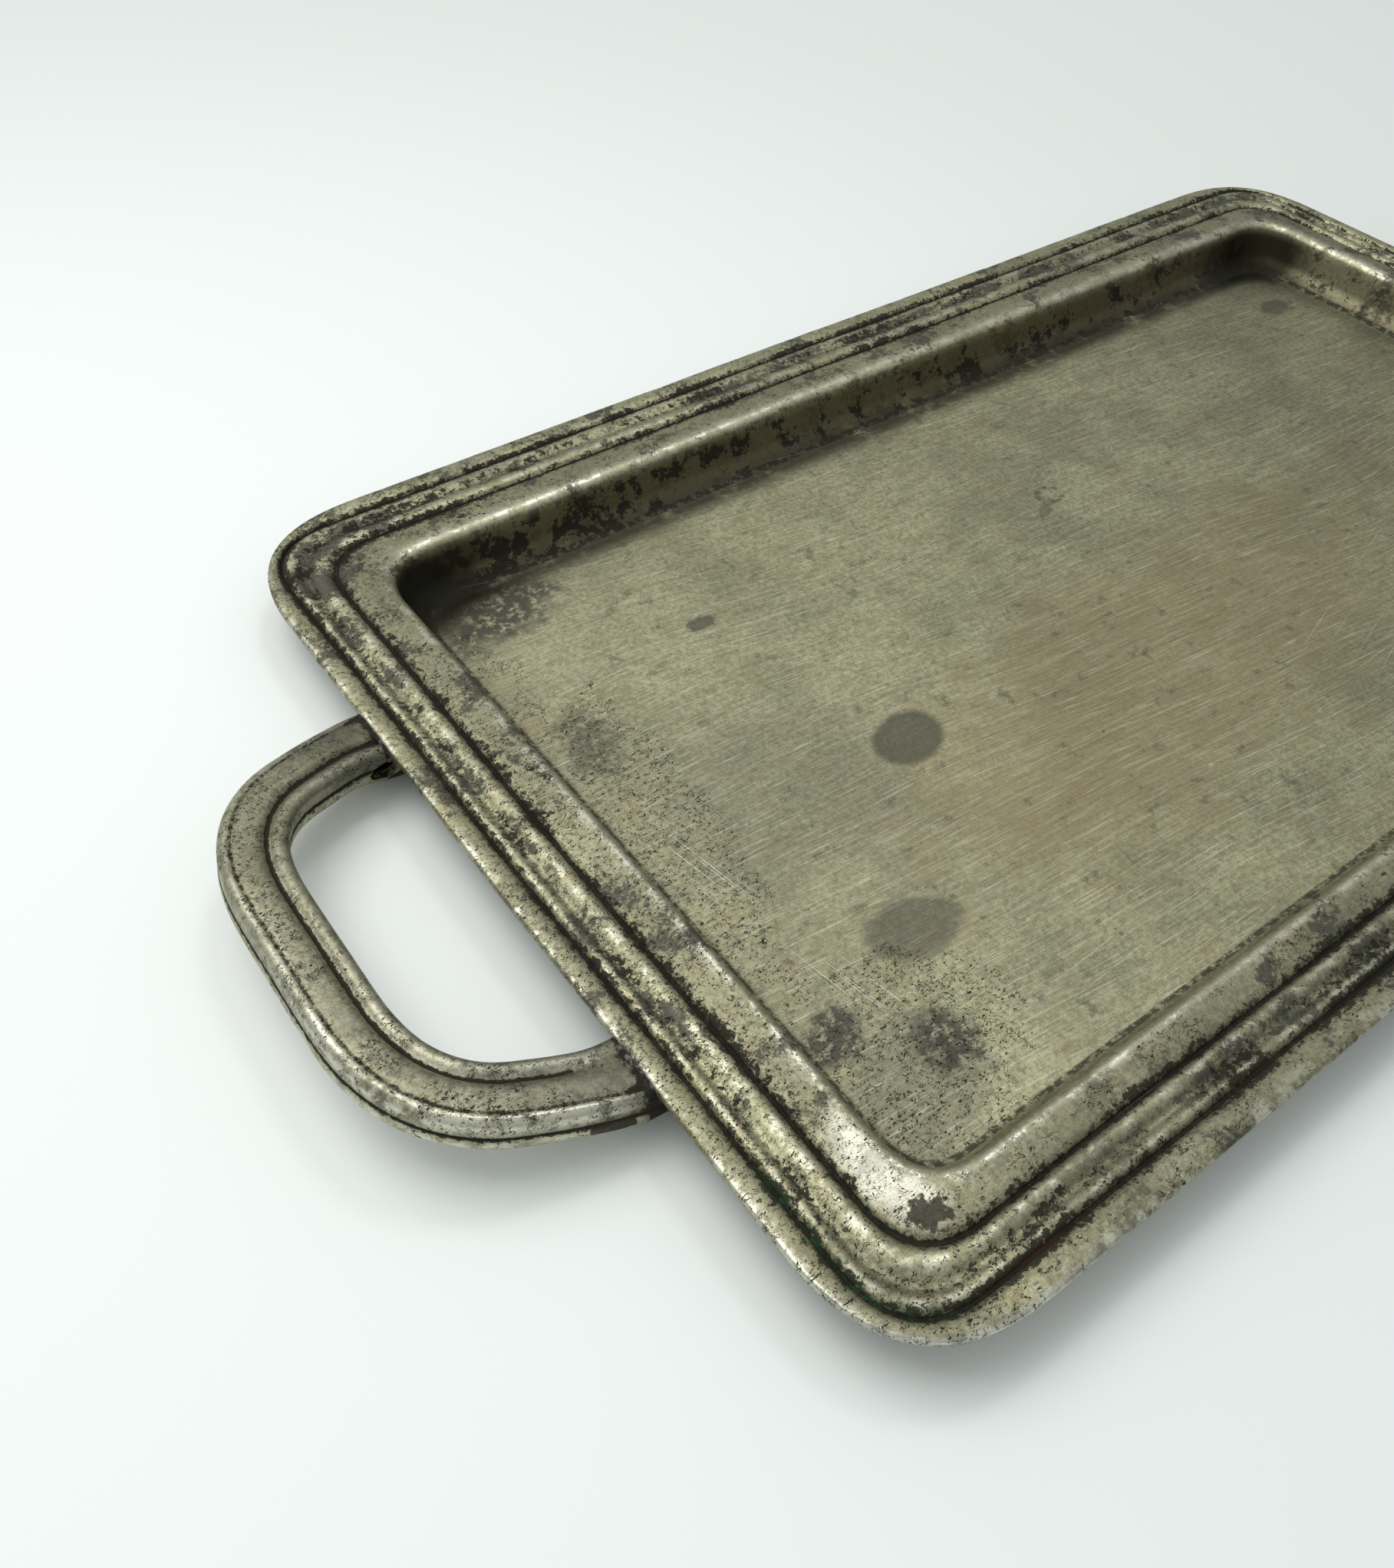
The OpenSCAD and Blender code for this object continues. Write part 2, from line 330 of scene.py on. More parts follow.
# The groove is worn away by the near root: where it lies across the grip and above what height,
# how far out the wear begins, the length it takes to be complete, and the depth that is left
GROOVE_SPAN = (-2.6, -0.5)
GROOVE_ABOVE = 1.5
WORN_START, WORN_RUN = 11, 6
WORN_DEPTH = 0.12
# Length of the dirty part of a leg before its root
ROOT_DIRT = {"upper": 3.2, "under": 1.3}


def loop_path():
    """Stations (x, y, outward x, outward y) of the loop's centre line, from foot to foot."""
    cx = LOOP_ONSET - REACH
    cy = LEG_Y - LOOP_ONSET
    half = [(x, LEG_Y) for x in (FOOT_LAP, 2.5, 0.32, 0.12, -0.5, -1.2)]
    for k in range(BEND_STEPS + 1):
        a = math.radians(90 * (1 + k / BEND_STEPS))
        half.append((cx - LOOP_ONSET * abs(math.cos(a)) ** (2 / LOOP_POWER),
                     cy + LOOP_ONSET * abs(math.sin(a)) ** (2 / LOOP_POWER)))
    half += [(-REACH, cy * (1 - k / 4)) for k in range(1, 5)]
    points = half + [(x, -y) for x, y in reversed(half[:-1])]
    points = [(x, y + math.copysign(SPLAY * smooth((x + SPLAY_RUN) / SPLAY_RUN), y))
              for x, y in points]
    stations = []
    for i, (x, y) in enumerate(points):
        x0, y0 = points[max(i - 1, 0)]
        x1, y1 = points[min(i + 1, len(points) - 1)]
        size = math.hypot(x1 - x0, y1 - y0)
        stations.append((x, y, (y1 - y0) / size, (x0 - x1) / size))
    return stations


def upper_section():
    """Outline of the upper shell as (outward, up, grime, polish), and of its hollow."""
    s = GRIP_WID / 2
    top = UPPER_RISE
    seam_side = [(s - 0.25, 0.0, 1.0, 0.0), (s - 0.04, 0.22, 0.7, 0.0), (s, 0.6, 0.1, 0.3)]
    shoulder = [(x, y, 0.0, 0.8) for x, y in arc(s - 1.5, top - 1.62, 1.5, 4, 72, 8)]
    line = [(s - 1.55, top - 0.22, 0.55, 0.0), (s - 1.85, top - 0.24, 0.6, 0.0),
            (s - 2.2, top - 0.10, 0.25, 0.1)]
    flat = [(1.7, top - 0.01, 0.0, 0.1), (0.9, top + 0.03, 0.0, 0.15), (0.1, top + 0.02, 0.0, 0.1),
            (-0.6, top - 0.08, 0.0, 0.0), (-1.05, top - 0.30, 0.2, 0.0)]
    groove = [(-1.4, top - 0.66, 0.7, 0.0), (-1.7, top - 0.84, 1.0, 0.0), (-2.0, top - 0.76, 0.6, 0.0)]
    bead = [(x, y, 0.0, 0.4) for x, y in arc(-s + 1.4, top - 1.45, 1.4, 40, 180, 11)]
    inner_side = [(-s, 0.7, 0.1, 0.1), (-s + 0.04, 0.22, 0.7, 0.0), (-s + 0.25, 0.0, 1.0, 0.0)]
    t = SHELL_WALL
    hollow = [(-s + t, 0.0), (-s + t, 0.9), (-s + t + 0.5, 1.3), (-0.9, 1.3), (-0.3, top - t),
              (s - t - 0.8, top - t), (s - t, top - t - 0.8), (s - t, 0.0)]
    return seam_side + shoulder + line + flat + groove + bead + inner_side, hollow


def under_section():
    """Outline of the under shell in the same form."""
    s = GRIP_WID / 2
    r = 2.1
    drop = UNDER_DROP
    seam_side = [(-s + 0.25, 0.0, 1.0, 0.0), (-s + 0.04, -0.22, 0.7, 0.0)]
    belly = [(x, y, 0.0, 0.8) for x, y in arc(-s + r, r - drop, r, 180, 270, 8)]
    belly += [(x, y, 0.0, 0.8) for x, y in arc(s - r, r - drop, r, 270, 360, 8)]
    other_side = [(s - 0.04, -0.22, 0.7, 0.0), (s - 0.25, 0.0, 1.0, 0.0)]
    t = SHELL_WALL
    hollow = [(s - t, 0.0), (s - t, -0.9), (s - t - 1.1, t - drop), (-s + t + 1.1, t - drop),
              (-s + t, -0.9), (-s + t, 0.0)]
    return seam_side + belly + other_side, hollow


def place(x, y, v, end):
    """Point of a handle, tilted and put at the left or right end of the tray."""
    px = x * math.cos(TILT) + v * math.sin(TILT) - HALF_LEN
    pz = v * math.cos(TILT) - x * math.sin(TILT) + RIM_Z - SEAM_DROP
    py = y + SIDE_SHIFT
    return (px, py, pz) if end == "left" else (-px, -py, pz)


def make_shell(part, end):
    """One shell of a handle: its outline and hollow swept round the loop."""
    outline, hollow = upper_section() if part == "upper" else under_section()
    points = [(*p, False) for p in outline] + [(*p, 0.9, 0.0, True) for p in hollow]
    seed = {"left": 4.0, "right": 6.0}[end]
    root_dirt = ROOT_DIRT[part]
    verts, grime, polish_and_highlight = [], [], []
    for x, y, out_x, out_y in loop_path():
        foot = smooth((x + FOOT_RUN) / FOOT_RUN)
        on_near_leg = y * END_TURN[end] < 0
        worn = smooth((x + WORN_START) / WORN_RUN) if on_near_leg else 0.0
        under_rim = x > 0.3
        for u, v, dirt, shine, inside in points:
            in_groove = part == "upper" and GROOVE_SPAN[0] < u < GROOVE_SPAN[1] and v > GROOVE_ABOVE
            if inside:
                # The hollow closes just inside the rim's edge: there the leg is solid
                v *= 1 - 0.96 * smooth(x / 1.5)
            elif in_groove:
                v += (UPPER_RISE - WORN_DEPTH - v) * worn
                dirt *= 1 - 0.8 * worn
            if part == "under" and not inside:
                v *= 1 + FOOT_DEEPEN * foot
            if under_rim and part == "upper":
                # The upper shell is flattened to pass under the rim
                v *= (SEAM_DROP - FLANGE - 0.05) / (UPPER_RISE + 0.05)
            if abs(u) > 1.0:
                u += math.copysign(FOOT_WIDEN * foot, u)
            u += 0.06 * lumps(x + 7 * u, y, v, 9, seed)
            ripple = 0.04 * lumps(x, y, u, 6, seed)
            verts.append(place(x + u * out_x, y + u * out_y, v + ripple, end))
            grime.append(min(1.0, dirt + 0.8 * smooth((x + root_dirt) / (root_dirt - 0.6))))
            polish_and_highlight.append(shine * (1 - foot))
    rows = len(verts) // len(points)
    shell = make_object(f"{end}_{part}_shell", verts, tube_faces(rows, len(points)),
                        {"grime": grime, "polish_and_highlight": polish_and_highlight}, sharp_angle=42)
    cut_vent(shell, end)
    settle(shell, f"{end}_handle_{part}_shell")
    return shell


# The vent's centre out from the root and below the seam, and its half sizes
VENT_OUT = 1.3
VENT_DROP = 0.7
VENT_HALF = (2.1, 2.2, 1.6)
VENT_RAGGED = 0.22


def cut_vent(shell, end):
    """Cuts the ragged vent on the inner side of one leg, at its root."""
    centre = place(-VENT_OUT, LEG_Y + SPLAY - GRIP_WID / 2, -VENT_DROP, end)
    cutter_mesh = bpy.data.meshes.new("vent_cutter")
    ball = bmesh.new()
    bmesh.ops.create_icosphere(ball, subdivisions=3, radius=1.0)
    for vert in ball.verts:
        x, y, z = vert.co
        grow = 1 + VENT_RAGGED * lumps(x, y, z, 0.8, 3.0)
        vert.co = [(c + r * h * grow) * MM for c, r, h in zip(centre, vert.co, VENT_HALF)]
    ball.to_mesh(cutter_mesh)
    ball.free()
    cutter = bpy.data.objects.new("vent_cutter", cutter_mesh)
    bpy.context.scene.collection.objects.link(cutter)
    cut = shell.modifiers.new("vent", "BOOLEAN")
    cut.operation = "DIFFERENCE"
    cut.solver = "EXACT"
    cut.object = cutter
    graph = bpy.context.evaluated_depsgraph_get()
    shell.data = bpy.data.meshes.new_from_object(shell.evaluated_get(graph))
    shell.modifiers.clear()
    bpy.data.objects.remove(cutter)


# The solder is a run of small sections along an arch about the leg, from one side of its
# underside over the top to the other. The arch's start and sweep are in degrees. The run
# stands out from the rim by its reach, up from the leg by its climb, and both swell and shrink.
SOLDER_STEPS = 30
SOLDER_ARCH = (-28, 236)
SOLDER_SIDE = 0.35
SOLDER_DROP = 2.6
SOLDER_REACH = 1.25
SOLDER_CLIMB = 0.5
SOLDER_SWELL = 0.5


def solder_arch():
    """Points (across, up, outward across, outward up) of the arch about a leg."""
    arch = []
    for k in range(SOLDER_STEPS + 1):
        a = math.radians(SOLDER_ARCH[0] + SOLDER_ARCH[1] * k / SOLDER_STEPS)
        wide, high = math.cos(a), math.sin(a)
        u = (GRIP_WID / 2 + SOLDER_SIDE) * math.copysign(abs(wide) ** 0.45, wide)
        if high > 0:
            v = UPPER_RISE * (0.5 + 0.5 * abs(high) ** 0.5)
        else:
            v = UPPER_RISE * 0.5 + SOLDER_DROP * high
        arch.append((u, v, wide, max(high, 0.0) * 1.4 + 0.1))
    return arch


def make_solder(end, leg):
    """Solder run along the corner between one leg and the rim's edge."""
    side = LEG_SIDE[leg] * END_TURN[end]
    leg_y = side * (LEG_Y + SPLAY)
    arch = solder_arch()
    verts, grime = [], []
    seed = 11.0 + 3 * side + (5 if end == "right" else 0)
    for k, (u, v, nu, nv) in enumerate(arch):
        size = math.hypot(nu, nv)
        nu, nv = nu / size, nv / size
        swell = 1 + SOLDER_SWELL * lumps(k * 0.5, u, v, 1.6, seed)
        taper = math.sin(math.pi * min(max((k + 0.7) / (SOLDER_STEPS + 1.4), 0), 1)) ** 0.35
        reach, climb = SOLDER_REACH * swell * taper, SOLDER_CLIMB * swell * taper
        section = ((-reach, -0.12), (-0.55 * reach, 0.12 * climb), (-0.2 * reach, 0.45 * climb),
                   (0.0, climb), (0.3, 0.9 * climb), (0.3, -0.35))
        for x, lift in section:
            verts.append(place(x, leg_y + (u + nu * lift), v + nv * lift, end))
            grime.append(1.0)
    faces = tube_faces(len(arch), len(section))
    solder = make_object(f"{end}_{leg}_solder", verts, faces, {"grime": grime}, sharp_angle=70)
    settle(solder, f"{end}_{leg}_solder_fillet")
    return solder


# ---------------------------------------------------------------- shader building blocks

# Size of a mark or a cell in the direction in which it has no end
ENDLESS = 1e6
# Half width of a scratch, as a share of its cell
SCRATCH_WIDTH = 0.45


class Paint:
    """Builds a node material. Positions and sizes are in millimetres in the tray's frame.

    Each texture's mapping node is made before the texture. The pan's material is close to the
    longest that the renderer can hold, and with the nodes in another order it renders black."""

    def __init__(self, name):
        self.material = bpy.data.materials.new(name)
        self.material.use_nodes = True
        self.tree = self.material.node_tree
        self.tree.nodes.clear()
        where = self.tree.nodes.new("ShaderNodeTexCoord").outputs["Object"]
        self.place = self.vector("SCALE", where, scale=1 / MM)
        self.up = self.part(self.place, "Z")

    def set(self, socket, value):
        """Links a socket to another node's output, or gives it a constant."""
        if isinstance(value, bpy.types.NodeSocket):
            self.tree.links.new(value, socket)
        elif isinstance(value, tuple) and len(value) == 3 and socket.type == "RGBA":
            socket.default_value = (*value, 1.0)
        else:
            socket.default_value = value

    def vector(self, operation, a, b=None, scale=None):
        node = self.tree.nodes.new("ShaderNodeVectorMath")
        node.operation = operation
        self.set(node.inputs[0], a)
        if b is not None:
            self.set(node.inputs[1], b)
        if scale is not None:
            self.set(node.inputs["Scale"], scale)
        return node.outputs["Value" if operation == "LENGTH" else "Vector"]

    def part(self, vector, axis):
        node = self.tree.nodes.new("ShaderNodeSeparateXYZ")
        self.set(node.inputs[0], vector)
        return node.outputs[axis]

    def math(self, operation, a, b=0.0, clamp=False):
        node = self.tree.nodes.new("ShaderNodeMath")
        node.operation = operation
        node.use_clamp = clamp
        self.set(node.inputs[0], a)
        self.set(node.inputs[1], b)
        return node.outputs[0]

    def add(self, a, b):
        return self.math("ADD", a, b)

    def times(self, *values):
        result = values[0]
        for value in values[1:]:
            result = self.math("MULTIPLY", result, value)
        return result

    def most(self, *values):
        result = values[0]
        for value in values[1:]:
            result = self.math("MAXIMUM", result, value)
        return result

    def less(self, a):
        return self.math("SUBTRACT", 1.0, a)

    def step(self, value, low, high, to_low=0.0, to_high=1.0):
        """Smooth step of value from low to high."""
        node = self.tree.nodes.new("ShaderNodeMapRange")
        node.interpolation_type = "SMOOTHSTEP"
        for key, v in zip(("Value", "From Min", "From Max", "To Min", "To Max"),
                          (value, low, high, to_low, to_high)):
            self.set(node.inputs[key], v)
        return node.outputs[0]

    def close_to(self, value, middle, full, none):
        """1 where value is within full of the middle, falling to 0 at none from it."""
        return self.step(self.math("ABSOLUTE", self.add(value, -middle)), none, full)

    def mix(self, share, a, b, blend="MIX"):
        node = self.tree.nodes.new("ShaderNodeMix")
        node.data_type = "RGBA"
        node.blend_type = blend
        self.set(node.inputs[0], share)
        self.set(node.inputs[6], a)
        self.set(node.inputs[7], b)
        return node.outputs[2]

    def coat(self, color, paint, *shares):
        """The colour with a paint laid over it by the product of the shares."""
        return self.mix(self.times(*shares), color, paint)

    def layer(self, name):
        node = self.tree.nodes.new("ShaderNodeAttribute")
        node.attribute_name = name
        return node.outputs["Fac"]

    def local(self, centre, size, turn=0.0, source=None):
        """Coordinates about a centre, turned about Z by turn degrees, in units of size."""
        node = self.tree.nodes.new("ShaderNodeMapping")
        node.vector_type = "TEXTURE"
        self.set(node.inputs["Vector"], source or self.place)
        node.inputs["Location"].default_value = centre
        node.inputs["Rotation"].default_value = (0, 0, math.radians(turn))
        node.inputs["Scale"].default_value = size
        return node.outputs[0]

    def noise(self, size, seed=0.0, detail=2.0, rough=0.5, warp=0.0, turn=0.0, source=None):
        """Noise of mean 0.5 whose lumps have that size, one number or one for each axis."""
        sizes = size if isinstance(size, tuple) else (size, size, size)
        start = (seed * 37.0, seed * -53.0, seed * 11.0)
        where = self.local(start, sizes, turn, source)
        node = self.tree.nodes.new("ShaderNodeTexNoise")
        self.set(node.inputs["Vector"], where)
        node.inputs["Scale"].default_value = 1.0
        node.inputs["Detail"].default_value = detail
        node.inputs["Roughness"].default_value = rough
        node.inputs["Distortion"].default_value = warp
        return node.outputs["Fac"]

    def sway(self, amount, size, seed, detail=2.0, rough=0.5):
        """Noise of mean 0, times amount."""
        return self.times(self.add(self.noise(size, seed, detail, rough), -0.5), amount)

    def lumpy(self, size, seed, low, high, detail=5, rough=0.7):
        """Mask of noise lumps, from 0 at low to 1 at high."""
        return self.step(self.noise(size, seed, detail, rough), low, high)

    def cells(self, size, seed=0.0, turn=0.0, source=None):
        """Distance to the nearest point of a random scatter, and a random number for each point."""
        where = self.local((seed * 29.0, seed * 17.0, seed), size, turn, source)
        node = self.tree.nodes.new("ShaderNodeTexVoronoi")
        self.set(node.inputs["Vector"], where)
        node.inputs["Scale"].default_value = 1.0
        return node.outputs["Distance"], self.part(node.outputs["Color"], "X")

    def spot(self, x, y, wide, high, turn=0.0, ragged=0.3, lump=3.0, soft=0.25):
        """Ragged oval mask about (x, y), of that width and height, seen from above."""
        away = self.vector("LENGTH", self.local((x, y, 0), (wide / 2, high / 2, ENDLESS), turn))
        torn = self.add(away, self.sway(2 * ragged, lump, x * 0.1, detail=4, rough=0.6))
        return self.step(torn, 1 + soft / 2, 1 - soft / 2)

    def scratches(self, length, pitch, share, turn, seed, source=None):
        """Thin tapered lines: share of the cells of length by pitch hold one."""
        away, pick = self.cells((length, pitch, ENDLESS), seed, turn, source)
        line = self.math("SUBTRACT", 1.0, self.math("DIVIDE", away, SCRATCH_WIDTH), clamp=True)
        return self.times(line, self.math("GREATER_THAN", pick, 1 - share))

    def finish(self, color, rough, metallic, bump, bump_depth, gloss=0.5):
        """The surface itself. Bump depth is in millimetres and gloss is the specular level."""
        shader = self.tree.nodes.new("ShaderNodeBsdfPrincipled")
        self.set(shader.inputs["Specular IOR Level"], gloss)
        output = self.tree.nodes.new("ShaderNodeOutputMaterial")
        self.set(shader.inputs["Base Color"], color)
        self.set(shader.inputs["Roughness"], rough)
        self.set(shader.inputs["Metallic"], metallic)
        node = self.tree.nodes.new("ShaderNodeBump")
        node.inputs["Distance"].default_value = bump_depth * MM
        self.set(node.inputs["Height"], bump)
        self.set(shader.inputs["Normal"], node.outputs[0])
        self.tree.links.new(shader.outputs[0], output.inputs["Surface"])
        return self.material


# ---------------------------------------------------------------- metals

CLEAN = (0.49, 0.472, 0.295)
DULL = (0.355, 0.343, 0.215)
BRIGHT = (0.80, 0.78, 0.65)
PAINTED_HIGHLIGHT = (0.92, 0.92, 0.90)
BROWN = (0.31, 0.255, 0.145)
WALL_BROWN_AND_SHADE = (0.105, 0.082, 0.042)
PAINTED_FOOT_SHADE = (0.045, 0.042, 0.030)
GREY_TARNISH = (0.085, 0.083, 0.068)
DIRT = (0.012, 0.011, 0.007)
BARE_FOOT = (0.030, 0.029, 0.020)
VERDIGRIS = (0.018, 0.050, 0.020)
RUST = (0.050, 0.020, 0.008)
SCRATCH = (0.80, 0.78, 0.66)
SOLDER_DARK = (0.012, 0.011, 0.009)
SOLDER_GREY = (0.10, 0.10, 0.095)
PAPER = (0.86, 0.885, 0.875)
PAPER_PAINTED_DIM = (0.68, 0.71, 0.695)

METAL_GLOSS = 0.12
METAL_BUMP = 0.05


def tarnished(p, seed, crowd):
    """What every metal piece shares: base colour, speckle, and black flecks where crowd is 1."""
    cloud = p.noise(24, seed + 1, detail=4, rough=0.6)
    grain = p.noise(0.75, seed + 2, detail=4, rough=0.8)
    color = p.mix(p.step(cloud, 0.38, 0.64), CLEAN, DULL)
    color = p.mix(p.step(grain, 0.36, 0.64, 0.50, 0.0), color, GREY_TARNISH)
    warm = p.step(p.noise(5.0, seed + 3, detail=5, rough=0.75), 0.50, 0.68, 0.0, 0.62)
    color = p.mix(warm, color, BROWN)
    crack_field = p.noise((1.5, 0.9, 1.2), seed + 4, detail=2, rough=0.6, warp=1.6)
    crack = p.close_to(crack_field, 0.5, 0.012, 0.040)
    broken = p.step(p.noise(0.9, seed + 5, detail=2), 0.46, 0.53)
    away, pick = p.cells((1.0, 0.5, 0.8), seed + 6, turn=14)
    torn_away = p.add(away, p.times(p.add(grain, -0.5), 0.6))
    speck = p.step(p.math("SUBTRACT", p.times(pick, 0.30), torn_away), 0.0, 0.06)
    fleck = p.times(p.most(p.times(crack, broken), speck), crowd)
    return color, grain, fleck


def crease_mask(p, seed):
    """Dirt that lies in the creases, with a ragged edge."""
    torn = p.add(p.layer("grime"), p.sway(1.3, 0.9, seed, detail=4, rough=0.75))
    return p.step(torn, 0.42, 0.66)


def pan_metal():
    """The pan's material. Its marks are placed by (x, y) and its bands by the inset from the edge."""
    p = Paint("pan_metal")
    x, y = p.part(p.place, "X"), p.part(p.place, "Y")
    inset = p.layer("inset")

    def band(middle, half, soft):
        """1 within half of that distance in from the edge, falling to 0 over soft."""
        return p.close_to(inset, middle, half, half + soft)

    on_floor = p.step(inset, FEATURES[-1] - 2.2, FEATURES[-1] - 0.8)
    on_wall = p.times(p.step(inset, 18.2, 19.2), p.less(on_floor))
    on_rim = p.step(inset, 18.2, 16.8)
    left, right = p.step(x, -112, -122), p.step(x, 95, 130)
    near, far = p.step(y, -55, -70), p.step(y, 48, 62)

    # How thickly the flecks lie: along the rim, in a strip by the left wall and in the corners
    left_strip = p.times(p.spot(-108, 0, 17, 62, -7, ragged=0.35, lump=9, soft=0.8), 0.62)
    left_edge = p.times(p.step(x, -100, -113), 0.26)
    corner_patch = p.times(p.spot(-104, -54, 36, 28, 30, ragged=0.5, lump=8, soft=1.0), 0.48)
    on_floor_crowd = p.most(left_strip, left_edge, corner_patch, 0.06)
    crowding = p.add(p.times(on_floor, on_floor_crowd),
                     p.times(on_rim, p.add(0.22, p.times(left, 0.12))))
    crowd = p.step(p.add(p.noise(5.5, 5.0, detail=4, rough=0.65), crowding), 0.68, 0.80)
    color, grain, fleck = tarnished(p, 0.0, crowd)

    # Brown haze over the middle of the floor, and greyer metal to the right of it
    haze_field = p.add(p.spot(-5, -20, 165, 62, 10, ragged=0.5, lump=24, soft=1.2),
                       p.sway(1.3, 7, 4.2, detail=5, rough=0.72))
    haze = p.times(p.step(haze_field, 0.30, 1.05), on_floor)
    color = p.coat(color, BROWN, haze, 0.62)
    color = p.coat(color, GREY_TARNISH, on_floor, p.step(x, 20, 110), 0.25)

    # A thin grey veil: on the whole floor and more by its left end, on the rim's inner and outer
    # bands, on the near and far sides of the rim, and at the near left corner
    veil = p.most(
        p.times(on_floor, 0.13),
        p.times(p.step(inset, 10.8, 12.4), on_rim, 0.30),
        p.times(p.step(inset, 4.4, 3.6), 0.16),
        p.times(on_floor, p.spot(-90, -8, 44, 60, 0, ragged=0.3, lump=14, soft=1.2), 0.30),
        p.times(on_floor, p.spot(-107, -58, 28, 18, 30, ragged=0.4, lump=5, soft=0.9), 0.50),
        p.times(on_rim, p.less(left), p.add(p.times(near, 0.36), p.times(far, 0.20))),
        p.times(on_rim, p.spot(-132, -82, 40, 12, -45, soft=0.9), 0.45))
    color = p.mix(veil, color, GREY_TARNISH)

    # Fine hairs along the tray, bowed a little, worn high places on the mouldings, and a painted
    # highlight along the shoulder on every side but the left
    bow = p.sway(9.0, 70, 8.0, detail=1)
    bowed = p.vector("ADD", p.place, p.vector("SCALE", (0.0, 1.0, 0.0), scale=bow))
    hair = p.noise((9, 0.24, 50), 6.0, detail=3, rough=0.7, turn=-5, source=bowed)
    hair_share = p.add(p.times(on_floor, 0.85), 0.15)
    worn_place = p.step(p.noise(3.4, 7.0, detail=5, rough=0.72), 0.44, 0.60)
    on_shoulder = band(17.4, 0.7, 1.0)
    polish_and_highlight = p.times(p.layer("polish_and_highlight"),
                     p.most(worn_place, p.times(on_shoulder, p.less(left), 0.30)))
    color = p.coat(color, BRIGHT, p.step(hair, 0.52, 0.74), hair_share, 0.38)
    color = p.coat(color, GREY_TARNISH, p.step(hair, 0.48, 0.28), hair_share, 0.40)
    color = p.coat(color, BRIGHT, polish_and_highlight, 0.65)

    # Grey tarnish: ragged mottling on the rim, clouds of it on the inner band
    mottle_field = p.add(p.noise(1.9, 10.0, detail=6, rough=0.82), p.sway(0.8, 8, 10.5, detail=3))
    far_corner = p.spot(-124, 77, 30, 22, 25, ragged=0.3, lump=6, soft=1.0)
    mottle_room = p.add(p.add(p.times(band(7.3, 1.0, 1.2), 0.09), p.times(band(13.3, 1.6, 1.6), 0.045)),
                        p.times(far_corner, 0.09))
    cleaner = p.spot(-118, -76, 60, 34, 20, ragged=0.3, lump=10, soft=1.2)
    mottle = p.times(p.step(p.add(mottle_field, mottle_room), 0.55, 0.66), p.less(on_floor),
                     p.less(p.times(cleaner, 0.75)))

    # Stains on the floor: two ovals, a small ring with a tail, ragged patches and smudges
    ovals = p.most(p.times(p.spot(-65, -9, 13.5, 10.5, 12, ragged=0.10, soft=0.30), 0.85),
                   p.times(p.spot(-90, -38, 16, 10, -8, ragged=0.25, soft=0.4), 0.70))
    ring_away = p.vector("LENGTH", p.local((3, 25, 0), (3.2, 2.8, ENDLESS)))
    ring_mark = p.times(p.close_to(ring_away, 0.7, 0.15, 0.42), p.lumpy(1.8, 5.5, 0.42, 0.55))
    tail = p.times(p.spot(-1, 22, 7, 2.2, 35, ragged=0.9, lump=1.4), 0.6)
    torn = p.lumpy(1.5, 5.9, 0.36, 0.52)
    patches = p.most(p.times(p.spot(-111, -45, 9, 8, 20, ragged=0.9, lump=3.0, soft=0.7), torn),
                     p.times(p.spot(-99, -54, 9, 10, 60, ragged=0.9, lump=3.0, soft=0.7), torn),
                     p.times(p.spot(-108, 20, 8, 16, -8, ragged=0.9, lump=3.0, soft=1.0), torn, 0.7),
                     p.times(p.spot(103, 47, 9, 6, 0, ragged=0.9, lump=3, soft=0.9), 0.8),
                     p.times(p.spot(-103, 55, 24, 12, 20, ragged=0.8, lump=4, soft=1.0), torn),
                     p.times(p.spot(-76, 33, 6, 3.2, 0, ragged=0.9, lump=2, soft=0.6), 0.8))
    smudge = p.times(p.lumpy(3.6, 14.0, 0.57, 0.70), on_floor, 0.50)
    tarnish = p.most(p.times(mottle, 0.88), p.times(ovals, 0.88),
                     p.times(p.most(ring_mark, tail), 0.72), p.times(patches, 0.95), smudge)
    color = p.mix(tarnish, color, GREY_TARNISH)

    # The wall: brown tarnish deepened into painted shade, most on the far side, black in blotches on the
    # far side, a painted crevice shade as a dark line at its foot, a painted shade and reflection of the
    # wall on the floor before it, and dark corners
    blotch_field = p.add(p.noise(5.5, 12.0, detail=6, rough=0.75), p.times(p.step(x, -30, -120), 0.07))
    black = p.times(on_wall, p.step(blotch_field, 0.54, 0.58), p.most(far, right, left))
    brown_and_shade_sides = p.most(far, p.times(right, 0.8), 0.35)
    color = p.coat(color, WALL_BROWN_AND_SHADE, on_wall, brown_and_shade_sides, 0.80)
    foot_crevice_shade = p.times(band(22.6, 0.35, 0.5), p.lumpy(1.6, 12.5, 0.40, 0.52))
    foot_shade = p.times(p.step(inset, 29.5, 24.0), p.step(inset, 19.5, 22.0),
                         p.most(far, p.times(right, 0.6)), p.lumpy(9, 12.8, 0.20, 0.50, detail=4))
    corner_dark = p.most(p.spot(-112, 62, 26, 15, 0, ragged=0.5, lump=5, soft=0.9),
                         p.spot(114, 62, 30, 20, 0, ragged=0.5, lump=5, soft=0.9))
    color = p.coat(color, PAINTED_FOOT_SHADE, foot_shade, 0.90)
    color = p.coat(color, DIRT, corner_dark, p.most(on_wall, foot_shade, 0.3), 0.90)
    color = p.coat(color, DIRT, black, 0.95)

